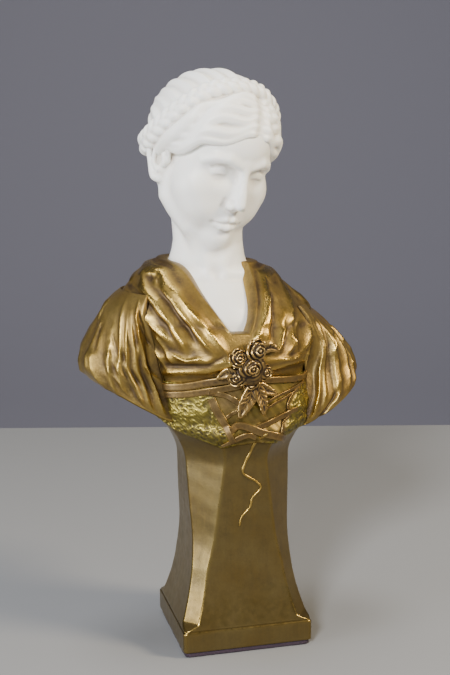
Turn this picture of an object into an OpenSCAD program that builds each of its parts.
// Bust of a young woman: carved marble head and chest, gilt bronze dress, waisted bronze pedestal.
// Castings are stacked on one vertical tie rod. +Z is up, the figure faces -Y, the origin is
// the centre of the underside, and sizes are millimetres.

/* [Base] */
// Thickness of the felt under the plinth
felt_t = 2; // [1:0.5:3]
// Width of the plinth
plinth_w = 56; // [54:0.5:60]
// Depth of the plinth
plinth_d = 53; // [51:0.5:57]
// Height of the plinth's square edge
plinth_h = 9; // [8:0.5:11]

/* [Pedestal] */
// Half width of the pedestal at its waist
waist_half = 21; // [20.5:0.25:23]
// How far the upper flare has spread at its top
top_spread = 9.2; // [7:0.2:10]

/* [Figure] */
// Turn of the shoulders about the vertical, towards the figure's left
torso_turn = 3; // [-12:1:12]
// Drop of the shoulders towards the figure's left, as rise over run
shoulder_slope = 0.07; // [0:0.01:0.09]
// How far the sleeves puff out beyond the body
sleeve_puff = 24.5; // [20:0.5:27]
// Turn of the head towards the figure's left
head_turn = 23; // [10:1:30]
// Forward tilt of the head
head_bow = 20; // [12:1:24]
// Sideways tilt of the head towards the figure's left shoulder
head_lean = 8; // [0:1:12]
// Size of the head; 1 is 70 mm from chin to crown
head_size = 0.94; // [0.9:0.01:0.98]

/* [Fixings] */
// Radius of the tie rod
rod_r = 3; // [2.5:0.25:3.5]
// Radial clearance of the tie rod and the pins in their holes
fit_gap = 0.05; // [0.03:0.01:0.1]
// Radius of the locating dowels
dowel_r = 1.5; // [1:0.25:1.75]

/* [Hidden] */

gilt = "goldenrod";
bronze = "peru";
green_gilt = "darkkhaki";
marble = "ivory";
steel = "slategray";

// Heights of the joints between the castings
plinth_z = felt_t + plinth_h;
waist_z = 50;
ledge_z = plinth_z + 3;
deck_z = 86;
corset_z = 92;
bodice_z = 116;
seat_z = 132;
marble_z = seat_z + 0.6;

ring_n = 48;
seam = 0.35;            // gap between a sleeve and the body
skin = 0.05;            // gap under an applied ribbon
wide_hole = 0.3;        // extra radius where the rod only passes through
plate_t = 1.5;
plate_corner = 3;
wall = 5;               // plinth's wall
shaft_hole = [34, 31];  // hollow up the inside of the pedestal
floor_hole_r = 17.5;    // opening through the corset's floor
cavity_r = 21.5;        // hollow of the corset
bodice_cavity_r = 20;   // hollow under the marble's seat
cavity_y = 2;           // both hollows sit a little behind the rod
screw_r = 1.2;
screw_long = 5;         // screw beyond the plate
screw_x = plinth_w / 2 - 7;
screw_y = plinth_d / 2 - 7;
dowel_x = 20;
bodice_dowel_x = 27.5;
dowel_half = 3;         // half the length of a dowel
spare = 0.5;            // hole beyond the end of its dowel, pin or screw
sleeve_pin_z = [122, 131];
sleeve_pin_start = 30;
sleeve_pin_long = 14;
key_pin = [10, 6];
bar = [44, 12, 4];      // bar that bears on the ledge inside the plinth
washer_t = 1.2;
nut_t = 4;
nut_z = ledge_z - bar.z - washer_t - nut_t;
bush_r = 6;
bush_long = 17;
rose_z = 123;
stud_r = 1.5;
head_centre = [-7.5, 2, 206.5];

// Half width, front depth and back depth of the dress about its own axis at each height.
// The second group belongs to the marble inside it.
dress_w = [[92, 27.3], [98, 32], [106, 34], [116, 34.5], [126, 37], [134, 39.5], [141, 40.5], [146, 39.2],
    [151, 35.5], [155, 31.5], [158.5, 27.5], [161, 24.5], [164, 20]];
dress_f = [[92, 27], [98, 27.5], [106, 29], [116, 30], [124, 34], [132, 33.5], [142, 30], [151, 25],
    [157, 20], [161, 17], [166, 14.5]];
dress_b = [[92, 27], [98, 27], [106, 26], [116, 26], [126, 27], [136, 28], [145, 27], [151, 24.5],
    [157, 20.5], [161, 18], [166, 15.5]];
chest_w = [[132, 22], [142, 24], [150, 24], [156, 21], [161, 17.5], [166, 15.2], [172, 14.2], [190, 14.2]];
chest_f = [[132, 24], [140, 25], [146, 23], [152, 19], [158, 15], [166, 12.5], [172, 12], [190, 12]];
chest_b = [[132, 18], [142, 18], [150, 18], [156, 16.5], [161, 15], [166, 14], [172, 13], [190, 13]];

// Half width, half depth and forward shift of the head at each height in its own frame
skull_w = [[-35, 2], [-34, 6.5], [-31, 11.5], [-26, 16.5], [-20, 20], [-12, 22.6], [-4, 24.5], [6, 26],
    [14, 26], [22, 23.8], [28, 20], [33, 13], [35.4, 7], [36.5, 2]];
skull_d = [[-35, 2], [-34, 5.5], [-31, 10], [-26, 15], [-20, 19.5], [-12, 24.5], [-4, 27.5], [6, 29],
    [14, 28.6], [22, 25.4], [28, 20.6], [33, 13.6], [35.4, 7.2], [36.5, 2.5]];
skull_y = [[-35, -18], [-31, -15.5], [-26, -12], [-20, -8], [-12, -2.8], [-4, 0], [6, 1], [36.3, 3]];
nose_out = [[-16.5, 0], [-14.6, 1], [-13, 5], [-11.5, 6], [-8, 4.4], [-2, 1.8], [4, 0.4], [7, 0]];

function clamp01(t) = min(1, max(0, t));
function ease(t) = let(u = clamp01(t)) u * u * (3 - 2 * u);
function mix(a, b, t) = a + (b - a) * t;
function bump(x, spread) = exp(-pow(x / spread, 2));
function ramp(a, b, z) = ease((z - a) / (b - a));

// The body's axis sways back and to the figure's right above the corset, and it turns with the shoulders
function axis_x(z) = -2.8 * ramp(96, 122, z) - 5.6 * ramp(126, 156, z);
function axis_y(z) = 4.5 * ramp(96, 122, z) + 2 * ramp(130, 164, z);
function turn(z) = torso_turn * ramp(94, 120, z);
// The shoulders slope down to the figure's left
function slope(z) = -shoulder_slope * ramp(117, 146, z);
function on_body(a, r, z) =
    let(b = a + turn(z)) [axis_x(z) + r * cos(b), axis_y(z) + r * sin(b), z + slope(z) * r * cos(b)];

// Radius of a rounded section of half width w, front depth f and back depth b, at angle a
function oval(a, w, f, b, n) =
    pow(pow(abs(cos(a)) / w, n) + pow(abs(sin(a)) / (sin(a) < 0 ? f : b), n), -1 / n);

// Half width and corner cut of the pedestal
function flare(z) = z < waist_z
    ? waist_half + (plinth_w / 2 - waist_half) * pow((waist_z - z) / (waist_z - plinth_z), 2.1)
    : waist_half + 0.05 * (z - waist_z) + top_spread * pow(clamp01((z - 80) / 18), 2);
function corner_cut(z) = min(5.5 + 0.18 * max(0, z - 36), 0.6 + 1.9 * (z - plinth_z));
function flare_d(z) = flare(z) - (plinth_w - plinth_d) / 2 * clamp01((waist_z - z) / 38);

// Signed angle from the middle of the front, positive towards the figure's left
function from_front(a) = (a + 90 + 540) % 360 - 180;
// The dress swells over the breasts
function dress(a, z) =
    oval(a, lookup(z, dress_w), lookup(z, dress_f), lookup(z, dress_b), 2.15)
    + 1.6 * bump(z - 126, 6) * bump(abs(from_front(a)) - 25, 14);
// The neckline has a narrow square foot in front. It curves up on the figure's right and runs
// straight up on its left, and stands level round the back of the neck.
function neckline(a) =
    let(s = from_front(a))
    136 + (s < 0 ? 27 * (1 - exp(-max(0, -s - 8) / 20)) : 27 * clamp01((s - 6.5) / 42));
function chest(a, z) = oval(a, lookup(z, chest_w), lookup(z, chest_f), lookup(z, chest_b), 2);

module loft(rings) {
    n = len(rings[0]);
    m = len(rings);
    polyhedron(
        points = [for (ring = rings) each ring],
        faces = [
            [for (i = [0:n - 1]) i],
            for (j = [0:m - 2], i = [0:n - 1])
                let(a = j * n + i, b = j * n + (i + 1) % n) each [[a, b + n, b], [a, a + n, b + n]],
            [for (i = [n - 1:-1:0]) (m - 1) * n + i]],
        convexity = 8);
}

// A curved slab between two grids of points, each a list of rows
module slab(outer, inner) {
    rows = len(outer);
    cols = len(outer[0]);
    half = rows * cols;
    rim = [
        for (i = [0:cols - 1]) i,
        for (j = [1:rows - 1]) j * cols + cols - 1,
        for (i = [cols - 2:-1:0]) (rows - 1) * cols + i,
        for (j = [rows - 2:-1:1]) j * cols];
    polyhedron(
        points = [for (row = outer) each row, for (row = inner) each row],
        faces = [
            for (j = [0:rows - 2], i = [0:cols - 2])
                let(a = j * cols + i, b = a + 1, c = a + cols, d = c + 1)
                each [[a, d, b], [a, c, d], [a + half, b + half, d + half], [a + half, d + half, c + half]],
            for (k = [0:len(rim) - 1])
                let(a = rim[k], b = rim[(k + 1) % len(rim)]) each [[a, b, b + half], [a, b + half, a + half]]],
        convexity = 8);
}

function octagon(a, b, c) = [
    [a, -b + c], [a, b - c], [a - c, b], [-a + c, b],
    [-a, b - c], [-a, -b + c], [-a + c, -b], [a - c, -b]];

module post(x, y, z0, z1, r) {
    translate([x, y, z0]) cylinder(r = r, h = z1 - z0, $fn = 48);
}

module block(w, d, z0, z1, corner) {
    translate([0, 0, z0]) linear_extrude(z1 - z0) polygon(octagon(w / 2, d / 2, corner));
}

module felt_pad() {
    color("midnightblue") block(plinth_w - 1.6, plinth_d - 1.6, 0, felt_t, 1);
}

module base_plate() {
    color(steel) difference() {
        block(plinth_w - 6.4, plinth_d - 6.4, felt_t, felt_t + plate_t, plate_corner);
        for (x = [-1, 1], y = [-1, 1])
            post(x * screw_x, y * screw_y, felt_t - 1, felt_t + plate_t + 1, screw_r + 0.1);
    }
}

module base_plate_screws() {
    color(steel) for (x = [-1, 1], y = [-1, 1])
        post(x * screw_x, y * screw_y, felt_t, felt_t + plate_t + screw_long, screw_r);
}

module pedestal() {
    heights = [plinth_z, plinth_z + 1, plinth_z + 2.2, plinth_z + 3.6, plinth_z + 6, plinth_z + 9,
        plinth_z + 13, 30, 37, 44, waist_z, 58, 66, 74, 80, 83, 86, 89, corset_z];
    rings = [for (z = heights) [for (p = octagon(flare(z), flare_d(z), corner_cut(z))) [p.x, p.y, z]]];
    color(bronze) difference() {
        union() {
            block(plinth_w, plinth_d, felt_t, plinth_z, 0.6);
            loft(rings);
        }
        block(plinth_w - 6, plinth_d - 6, felt_t - 1, felt_t + plate_t, plate_corner);
        block(plinth_w - 2 * wall, plinth_d - 2 * wall, felt_t, ledge_z, 8);
        block(shaft_hole.x, shaft_hole.y, ledge_z - 1, deck_z, 6);
        post(0, 0, deck_z - 1, corset_z + 1, rod_r + wide_hole);
        for (x = [-1, 1]) post(x * dowel_x, 0, corset_z - dowel_half, corset_z + 1, dowel_r + fit_gap);
        for (x = [-1, 1], y = [-1, 1])
            post(x * screw_x, y * screw_y, felt_t, felt_t + plate_t + screw_long + spare, screw_r + fit_gap);
    }
}

// The loose end of the lace wanders down the front face
module lace_tail() {
    route = [[3, 91], [1.5, 86], [-0.5, 81], [-1, 77], [4.5, 73], [6.5, 70], [3, 66], [2, 62],
        [-1.5, 58], [-2.5, 54]];
    function across(k, side) = [route[k].x + side * 0.45 * (1 - 0.5 * k / (len(route) - 1)), route[k].y];
    function grid(proud) = [for (k = [len(route) - 1:-1:0]) [
        for (s = [-1, 1]) let(p = across(k, s)) [p.x, -flare_d(p.y) - proud, p.y]]];
    color(gilt) slab(grid(0.9), grid(0.12));
}

module cross_bar() {
    color(steel) difference() {
        translate([-bar.x / 2, -bar.y / 2, ledge_z - bar.z]) cube(bar);
        post(0, 0, ledge_z - bar.z - 1, ledge_z + 1, rod_r + wide_hole);
    }
}

module rod_washer() {
    color(steel) difference() {
        post(0, 0, ledge_z - bar.z - washer_t, ledge_z - bar.z, 5.8);
        post(0, 0, ledge_z - bar.z - washer_t - 1, ledge_z - bar.z + 1, rod_r + wide_hole);
    }
}

module rod_nut() {
    color(steel) difference() {
        translate([0, 0, nut_z]) cylinder(d = 11.5, h = nut_t, $fn = 6);
        post(0, 0, nut_z - 1, nut_z + nut_t + 1, rod_r + fit_gap);
    }
}

module tie_rod() {
    color(steel) post(0, 0, nut_z - 0.6, marble_z + bush_long - 1, rod_r);
}

module corset() {
    heights = [corset_z, 94, 96, 98, 101, 104, 107, 110, 113, bodice_z];
    // The pedestal's cut corners melt into the rounded waist
    function section(a, z) =
        let(w = flare(z), d = flare_d(z), cut = (w + d - corner_cut(z)) / (abs(cos(a)) + abs(sin(a))),
            flat = min(w / max(abs(cos(a)), 0.001), d / max(abs(sin(a)), 0.001), cut))
        mix(flat, dress(a, z), ramp(corset_z - 1, 100, z));
    color(green_gilt) difference() {
        loft([for (z = heights) [
            for (i = [0:ring_n - 1]) let(a = 360 * i / ring_n) on_body(a, section(a, z), z)]]);
        post(0, 0, corset_z - 1, corset_z + 4, floor_hole_r);
        post(0, cavity_y, corset_z + 3, bodice_z + 1, cavity_r);
        for (x = [-1, 1])
            post(x * dowel_x, 0, corset_z - 1, corset_z + dowel_half + spare, dowel_r + fit_gap);
        for (x = [-1, 1])
            post(x * bodice_dowel_x, cavity_y, bodice_z - dowel_half - spare, bodice_z + 1, dowel_r + fit_gap);
    }
}

module corset_dowels() {
    color(steel) for (x = [-1, 1]) post(x * dowel_x, 0, corset_z - dowel_half, corset_z + dowel_half, dowel_r);
}

// A flat band on the dress between two points given as angle and height, standing proud by lift
module band(from, to, width, lift) {
    steps = 6;
    run = to - from;
    long = norm([run.x * 0.5, run.y]);
    side = [-run.y / long * 2, run.x * 0.5 / long] * width / 2;
    function spot(k, s, out) =
        let(p = from + run * k / steps + side * s) on_body(p.x, dress(p.x, p.y) + out, p.y);
    function grid(out) = [for (s = [-1, 1]) [for (k = [0:steps]) spot(k, s, out)]];
    color(gilt) slab(grid(lift), grid(skin));
}

module waist_ribbon() {
    band([-151, 110.8], [-104, 113.9], 3, 1.2);
    band([-151, 114.1], [-104, 117.6], 2.9, 1.2);
    band([-77, 116.8], [-30, 115.4], 2.6, 1.2);
}

module ribbon_lacing() {
    band([-105, 94.6], [-117, 108.6], 3.2, 1.0);
    band([-102.5, 98.4], [-64, 94.5], 3.2, 1.7);
    band([-100, 93.6], [-91, 94], 1.8, 1.0);
    band([-84, 100.3], [-54, 104.2], 2.6, 1.0);
    band([-110, 109.2], [-95, 107], 2.4, 1.0);
    band([-76.5, 106], [-34.4, 112.5], 1.8, 1.0);
}

module bodice() {
    cols = 72;
    outer = [for (t = [0:0.05:0.8]) t];
    lip = [0.84, 0.88, 0.92, 0.96, 0.985, 1];
    inner = [0.985, 0.9, 0.78, 0.6, 0.4, 0.2, 0];
    function angle(i) = 360 * i / cols;
    function top(i) = neckline(angle(i));
    function off(i) = abs(from_front(angle(i)));
    // Folds of the crossed shawl follow the neckline down to the belt, between the sleeves
    function fold(i, z) =
        let(under = top(i) - z, side = 1 - ramp(48, 56, off(i)))
        side * (0.9 * sin(52 * under + off(i) * 2) * ramp(0.5, 4, under) * ramp(-3, 3, z - 120)
            + 0.8 * bump(under - 2, 2));
    function outside(i, t) =
        let(z = mix(bodice_z, top(i), t)) on_body(angle(i), dress(angle(i), z) + fold(i, z), z);
    function inside(i, t) = let(z = mix(seat_z, top(i), t)) on_body(angle(i), chest(angle(i), z) + seam, z);
    color(gilt) difference() {
        loft([
            for (t = concat(outer, lip)) [for (i = [0:cols - 1]) outside(i, t)],
            for (t = inner) [for (i = [0:cols - 1]) inside(i, t)]]);
        post(0, cavity_y, bodice_z - 1, seat_z - 4, bodice_cavity_r);
        post(0, 0, seat_z - 5, seat_z + 1, rod_r + wide_hole);
        post(key_pin.x, key_pin.y, seat_z - 3, seat_z + 1, dowel_r + fit_gap);
        for (x = [-1, 1])
            post(x * bodice_dowel_x, cavity_y, bodice_z - 1, bodice_z + dowel_half + spare, dowel_r + fit_gap);
        translate([0, -12, rose_z]) rotate([90, 0, 0]) cylinder(r = stud_r + fit_gap, h = 30, $fn = 48);
        sleeve_pin_set(dowel_r + fit_gap, spare);
    }
}

module bodice_dowels() {
    color(steel) for (x = [-1, 1])
        post(x * bodice_dowel_x, cavity_y, bodice_z - dowel_half, bodice_z + dowel_half, dowel_r);
}

// Two pins hold each sleeve to the side of the body
module sleeve_pin_set(r, more) {
    for (side = [0, 180], z = sleeve_pin_z)
        translate([axis_x(z), axis_y(z) + 2, z]) rotate([0, 0, turn(z) + side]) rotate([0, 90, 0])
            translate([0, 0, sleeve_pin_start - more])
                cylinder(r = r, h = sleeve_pin_long + 2 * more, $fn = 48);
}

module sleeve_pins() {
    color(steel) sleeve_pin_set(dowel_r, 0);
}

// A puffed sleeve hugs the side of the body. Its outer face bulges from the shoulder seam to a
// tip, turns under, and stops at a slanting hem. facing is the angle of its middle.
module sleeve(facing, drop) {
    cols = 29;
    rows = 17;
    reach = 32;
    outer_z = [[0, 149.5], [1, 146], [2, 141], [3, 136.5], [4, 131.5], [5, 127], [6, 122.5], [7, 118.5],
        [8, 116]];
    outer_r = [[0, 0], [1, 0.12], [2, 0.3], [3, 0.47], [4, 0.69], [5, 0.88], [6, 0.98], [7, 1], [8, 0.96]];
    inner_z = [[0, 147], [1, 144], [2, 139], [3, 133.5], [4, 128], [5, 121.5], [6, 114], [7, 105.5], [8, 97.5]];
    function across(i) = 2 * i / (cols - 1) - 1;
    function down(j) = j / (rows - 1);
    function angle(i) = facing + reach * across(i);
    function swell(i) = pow(max(0, cos(90 * across(i))), 0.55);
    function body(i, z) = dress(angle(i), z) + seam;
    function sunk(j) = drop * (0.5 + 0.5 * down(j));
    // Gathers fan out from the shoulder
    function gather(i, j) =
        0.9 * sin(900 * across(i) + 260 * down(j) * across(i) + 60) * ease(2.2 * down(j)) * swell(i);
    function outer_point(i, j) =
        let(z = lookup(8 * down(j), outer_z) - sunk(j) - 17 * (1 - swell(i)) * down(j))
        on_body(angle(i),
            body(i, z) + 1.2 + sleeve_puff * lookup(8 * down(j), outer_r) * swell(i) + gather(i, j), z);
    function inner_point(i, j) =
        let(z = lookup(8 * down(j), inner_z) - 0.4 * sunk(j)) on_body(angle(i), body(i, z), z);
    color(gilt) difference() {
        slab(
            [for (j = [rows - 1:-1:0]) [for (i = [0:cols - 1]) outer_point(i, j)]],
            [for (j = [rows - 1:-1:0]) [for (i = [0:cols - 1]) inner_point(i, j)]]);
        sleeve_pin_set(dowel_r + fit_gap, spare);
    }
}

// The figure's left shoulder hangs lower than its right
module right_sleeve() {
    sleeve(176, 0);
}

module left_sleeve() {
    sleeve(4, 6);
}

// Roses and three hanging leaves in one casting, modelled over a flat back. Each bloom is
// [across, up, radius, petals], measured from the stud.
module rose_spray() {
    blooms = [[3, 4.3, 4.4, 6], [1.4, -2, 4.2, 5], [-4, -3.4, 3.5, 5], [-2.6, 2.6, 3.2, 5]];
    leaves = [[-118, 7.5, 9], [-90, 9.5, 7], [-62, 8, 9]];
    cols = 60;
    rings = [1, 0.94, 0.88, 0.82, 0.75, 0.68, 0.61, 0.54, 0.47, 0.4, 0.33, 0.26, 0.18, 0.1, 0.04];
    back_y = -30.4;
    function reach(a) =
        7.4 + 0.5 * cos(5 * a) + max([for (l = leaves) l[1] * bump(a > 90 ? a - 360 - l[0] : a - l[0], l[2])]);
    // Petals show as lobes that turn with their distance from the heart of the bloom
    function petals(d, a, b) = 1 + 0.16 * cos(b[3] * a + 300 * d / b[2]) * clamp01(2.5 * d / b[2]);
    function rise(x, y, b) =
        let(d = norm([x - b.x, y - b.y]), a = atan2(y - b.y, x - b.x))
        1.35 * sqrt(max(0, b[2] * b[2] - d * d)) * petals(d, a, b);
    function height(x, y) = 1.3 + 0.9 * bump(x + 0.4, 5) + max([for (b = blooms) rise(x, y, b)]);
    function spot(s, a, lift) = let(r = s * reach(a)) [r * cos(a), r * sin(a), lift];
    function on_top(s, a) = let(p = spot(s, a, 0)) [p.x, p.y, s == 1 ? 0.7 : height(p.x, p.y)];
    color(bronze) difference() {
        translate([0, back_y, rose_z]) rotate([90, 0, 0]) loft([
            [for (i = [0:cols - 1]) spot(0.98, 360 * i / cols - 180, 0)],
            for (s = rings) [for (i = [0:cols - 1]) on_top(s, 360 * i / cols - 180)]]);
        translate([0, -28, rose_z]) rotate([90, 0, 0]) cylinder(r = stud_r + fit_gap, h = 4.9, $fn = 48);
    }
}

module rose_stud() {
    color(steel) translate([0, -14.5, rose_z]) rotate([90, 0, 0]) cylinder(r = stud_r, h = 18.2, $fn = 48);
}

module rose_nut() {
    color(steel) difference() {
        translate([0, -15, rose_z]) rotate([90, 0, 0]) cylinder(d = 6.2, h = 2.4, $fn = 6);
        translate([0, -14, rose_z]) rotate([90, 0, 0]) cylinder(r = stud_r + fit_gap, h = 5, $fn = 48);
    }
}

module seat_packing() {
    color("saddlebrown") difference() {
        post(-1.5, 5, seat_z, marble_z, 15);
        post(0, 0, seat_z - 1, marble_z + 1, rod_r + wide_hole);
        post(key_pin.x, key_pin.y, seat_z - 1, marble_z + 1, dowel_r + 0.2);
    }
}

module head_key_pin() {
    color(steel) post(key_pin.x, key_pin.y, seat_z - 3, marble_z + 4, dowel_r);
}

module rod_anchor() {
    color("darkgoldenrod") difference() {
        post(0, 0, marble_z, marble_z + bush_long, bush_r);
        post(0, 0, marble_z - 1, marble_z + bush_long + 1, rod_r + fit_gap);
    }
}

// The head in its own frame, face towards -Y: a plain oval face of ordinary proportions under
// parted hair, with a plait laid round the crown
module head_form() {
    cols = 56;
    heights = [-35, -34.2, -32.8, -30.5, -28, -25.5, -23.4, -21.8, -20.6, -19.2, -17.6, -16, -14.4, -13,
        -11.5, -9.5, -7, -4.6, -2.8, -1, 0.8, 2.6, 5, 8, 11, 14, 16.5, 19, 21.5, 24, 26.5, 29, 31.5, 33.6,
        35.2, 36.3];
    function angle(i) = let(s = 360 * i / cols) s - 27 * sin(s) - 90;
    function front(a) = cos(from_front(a));
    function pair(b, at, spread) = bump(b - at, spread) + bump(b + at, spread);
    function face(b, h) =
        lookup(h, nose_out) * bump(b, 7.5 - 0.22 * (h + 12))
        - 2.6 * pair(b, 21, 10) * bump(h + 0.5, 4.2)
        + 2.0 * pair(b, 23, 7) * bump(h + 1, 2.6)
        + 0.7 * pair(b, 24, 16) * bump(h - 5, 2.6)
        + 1.6 * bump(b, 15) * (bump(h + 18.8, 1.7) + 1.1 * bump(h + 22.4, 1.8))
        - 0.8 * bump(b, 13) * bump(h + 20.6, 0.9)
        + 1.3 * bump(b, 18) * bump(h + 29.5, 3.6)
        - 0.7 * bump(b, 16) * bump(h + 25.2, 1.7);
    function hairline(a) = 17.5 - 22 * pow(1 - front(a), 0.85);
    function hair(a, h) =
        4.3 * ramp(hairline(a) - 2.5, hairline(a) + 3, h) * (1 - 0.55 * ramp(27, 36, h))
        * (1 - 0.16 * bump(from_front(a), 7))
        + 0.45 * sin(7 * from_front(a) + 24 * h) * ramp(hairline(a), hairline(a) + 4, h);
    // The plait goes over the crown from ear to ear, in a plane that leans back
    function plait(x, y, h) =
        let(off = 0.84 * y + 0.545 * h - 9.5, along = atan2(x, 0.84 * h - 0.545 * y))
        2.6 * bump(off, 4.2) * (1 + 0.22 * sin(16 * along + 30 * off)) * ramp(-10, -3, h);
    function knot(a, h) = 5 * bump(abs(from_front(a)) - 180, 34) * bump(h - 2, 8.5);
    function point(i, h) =
        let(a = angle(i),
            base = oval(a, lookup(h, skull_w), lookup(h, skull_d), lookup(h, skull_d), 2.15),
            y = base * sin(a) + lookup(h, skull_y),
            r = base + face(from_front(a), h) * (1 - ramp(8, 16, h)) + hair(a, h)
                + plait(base * cos(a), y, h) + knot(a, h))
        head_size * [r * cos(a), r * sin(a) + lookup(h, skull_y), h];
    loft([for (h = heights) [for (i = [0:cols - 1]) point(i, h)]]);
}

module marble_head() {
    heights = [marble_z, 137, 141, 145, 149, 153, 157, 161, 165, 170, 176, 182, 190];
    color(marble) difference() {
        union() {
            loft([for (z = heights) [for (i = [0:31]) let(a = 360 * i / 32) on_body(a, chest(a, z), z)]]);
            translate(head_centre) rotate([head_bow, head_lean, head_turn]) head_form();
        }
        post(0, 0, marble_z - 1, marble_z + bush_long + 1, bush_r + fit_gap);
        post(key_pin.x, key_pin.y, marble_z - 1, marble_z + 5, dowel_r + fit_gap);
    }
}

felt_pad();
base_plate();
base_plate_screws();
pedestal();
lace_tail();
cross_bar();
rod_washer();
rod_nut();
tie_rod();
corset();
corset_dowels();
waist_ribbon();
ribbon_lacing();
bodice();
bodice_dowels();
right_sleeve();
left_sleeve();
sleeve_pins();
rose_spray();
rose_stud();
rose_nut();
seat_packing();
head_key_pin();
rod_anchor();
marble_head();
